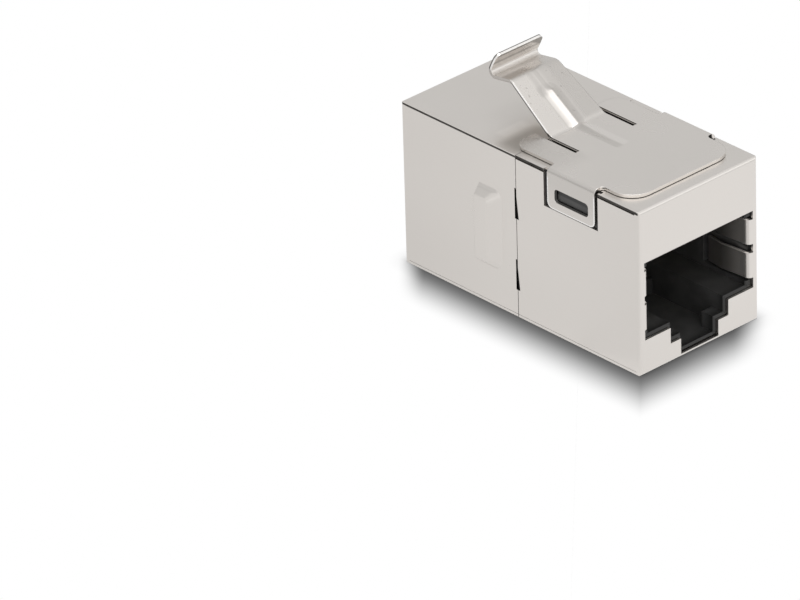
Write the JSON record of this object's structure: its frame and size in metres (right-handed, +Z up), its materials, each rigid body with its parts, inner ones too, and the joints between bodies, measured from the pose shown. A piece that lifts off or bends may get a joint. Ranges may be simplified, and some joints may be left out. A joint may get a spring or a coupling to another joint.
{
  "type": "rj45 inline coupler",
  "caption": "Shielded inline coupler for joining two network patch leads: folded metal can, spring latch clip on top and a plug socket in each end.",
  "frame": {"origin": "middle of the base, which rests on the ground plane", "axes": "+Y along the coupler from face A to face B, the end that the clip's lip points to; +Z up, to the side with the clip; +X across"},
  "size_m": [0.016, 0.03, 0.0219],
  "materials": {
    "plated_shell": "satin tin or nickel plate on folded sheet",
    "plated_clip": "bright plated spring steel",
    "black_housing": "moulded black, slight sheen",
    "black_carrier": "moulded black",
    "gilt_contact": "gold plated spring wire",
    "board": "green solder mask"
  },
  "bodies": {
    "root": {"front_shell": "plated_shell", "rear_shell": "plated_shell", "latch_clip": "plated_clip", "front_jack_housing": "black_housing", "rear_jack_housing": "black_housing", "front_contact_carrier": "black_carrier", "rear_contact_carrier": "black_carrier", "circuit_board": "board", "front_contact_1": "gilt_contact", "front_contact_2": "gilt_contact", "front_contact_3": "gilt_contact", "front_contact_4": "gilt_contact", "front_contact_5": "gilt_contact", "front_contact_6": "gilt_contact", "front_contact_7": "gilt_contact", "front_contact_8": "gilt_contact", "rear_contact_1": "gilt_contact", "rear_contact_2": "gilt_contact", "rear_contact_3": "gilt_contact", "rear_contact_4": "gilt_contact", "rear_contact_5": "gilt_contact", "rear_contact_6": "gilt_contact", "rear_contact_7": "gilt_contact", "rear_contact_8": "gilt_contact"}
  },
  "joints": []
}
